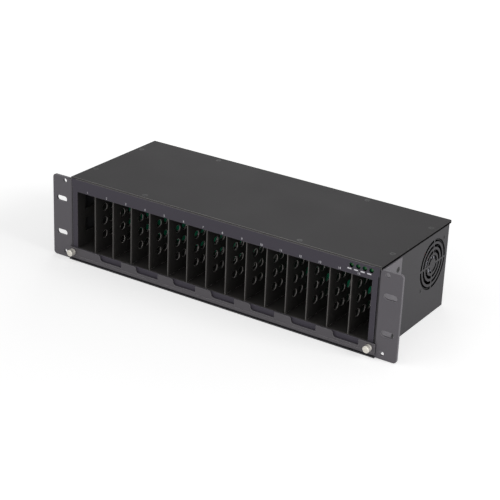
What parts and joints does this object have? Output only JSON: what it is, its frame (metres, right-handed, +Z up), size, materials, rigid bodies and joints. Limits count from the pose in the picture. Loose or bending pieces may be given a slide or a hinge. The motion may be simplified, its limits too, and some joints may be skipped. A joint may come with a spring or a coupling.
{
  "type": "media converter chassis",
  "caption": "Low wide rack case with ears, a row of upright converter bays behind an open bezel, a retaining bar below, side fan grilles and slide-out power modules at the rear.",
  "frame": {"origin": "middle of the case's front bottom edge, on the base plane, in the plane of the bezel's face", "axes": "+X to the right seen from the front, +Y to the rear, +Z up"},
  "size_m": [0.4826, 0.2034, 0.1085],
  "materials": {
    "case_paint": "fine powder coat, near black",
    "bezel_paint": "fine powder coat, dark purple grey",
    "ear_paint": "fine powder coat, dark grey",
    "divider_steel": "satin dark coat",
    "nickel": "nickel plated, turned",
    "screw_black": "black oxide",
    "board": "green solder mask",
    "black_plastic": "moulded, slightly glossy",
    "lamp": "green, translucent",
    "ribbon": "grey flat cable",
    "wire": "red and black insulation",
    "zinc": "zinc-plated sheet"
  },
  "bodies": {
    "chassis": {"base_tray": "case_paint", "top_cover": "case_paint", "front_bezel": "bezel_paint", "rear_panel": "case_paint", "slot_floor": "case_paint", "slot_roof": "case_paint", "ear_left": "ear_paint", "ear_right": "ear_paint", "ear_screws": "screw_black", "cover_screws": "screw_black", "rear_screws": "screw_black", "fan_screws": "screw_black", "panel_screws": "screw_black", "bay_rails": "zinc", "inner_panel_left": "case_paint", "inner_panel_right": "case_paint", "backplane_board": "board", "backplane_screws": "nickel", "backplane_sockets": "black_plastic", "dc_plugs": "black_plastic", "lamp_board": "board", "status_lamps": "lamp", "lamp_ribbon": "ribbon", "fan_frame_left": "black_plastic", "fan_frame_right": "black_plastic", "fan_lead_left": "wire", "fan_lead_right": "wire", "divider_1": "divider_steel", "divider_2": "divider_steel", "divider_3": "divider_steel", "divider_4": "divider_steel", "divider_5": "divider_steel", "divider_6": "divider_steel", "divider_7": "divider_steel", "divider_8": "divider_steel", "divider_9": "divider_steel", "divider_10": "divider_steel", "divider_11": "divider_steel", "divider_12": "divider_steel", "divider_13": "divider_steel", "divider_14": "divider_steel"},
    "bar": {"retaining_bar": "bezel_paint"},
    "thumb_left": {"thumbscrew_left": "nickel"},
    "rotor_left": {"fan_rotor_left": "black_plastic"},
    "module_left": {"module_case_left": "zinc", "module_plate_left": "case_paint", "module_handle_left": "nickel", "module_screws_left": "nickel", "mains_inlet_left": "black_plastic", "power_board_left": "board"},
    "rocker_left": {"rocker_switch_left": "black_plastic"},
    "thumb_right": {"thumbscrew_right": "nickel"},
    "rotor_right": {"fan_rotor_right": "black_plastic"},
    "module_right": {"module_case_right": "zinc", "module_plate_right": "case_paint", "module_handle_right": "nickel", "module_screws_right": "nickel", "mains_inlet_right": "black_plastic", "power_board_right": "board"},
    "rocker_right": {"rocker_switch_right": "black_plastic"}
  },
  "joints": [
    {"name": "bar_slide", "type": "slide", "parent": "chassis", "child": "bar", "axis": [0, -1, 0], "range_m": [0, 0.025]},
    {"name": "thumbscrew_left_turn", "type": "hinge", "parent": "bar", "child": "thumb_left", "pos_m": [-0.2083, -0.003, 0.012], "axis": [0, -1, 0], "continuous": true},
    {"name": "fan_left_spin", "type": "hinge", "parent": "chassis", "child": "rotor_left", "pos_m": [-0.2, 0.1305, 0.0653], "axis": [-1, 0, 0], "continuous": true},
    {"name": "module_left_slide", "type": "slide", "parent": "chassis", "child": "module_left", "axis": [0, 1, 0], "range_m": [0, 0.07]},
    {"name": "rocker_left_tilt", "type": "hinge", "parent": "module_left", "child": "rocker_left", "pos_m": [-0.116, 0.1667, 0.0623], "axis": [1, 0, 0], "range_deg": [-18, 0]},
    {"name": "thumbscrew_right_turn", "type": "hinge", "parent": "bar", "child": "thumb_right", "pos_m": [0.2083, -0.003, 0.012], "axis": [0, -1, 0], "continuous": true},
    {"name": "fan_right_spin", "type": "hinge", "parent": "chassis", "child": "rotor_right", "pos_m": [0.2, 0.1305, 0.0653], "axis": [1, 0, 0], "continuous": true},
    {"name": "module_right_slide", "type": "slide", "parent": "chassis", "child": "module_right", "axis": [0, 1, 0], "range_m": [0, 0.07]},
    {"name": "rocker_right_tilt", "type": "hinge", "parent": "module_right", "child": "rocker_right", "pos_m": [0.04, 0.1667, 0.0623], "axis": [1, 0, 0], "range_deg": [-18, 0]}
  ]
}
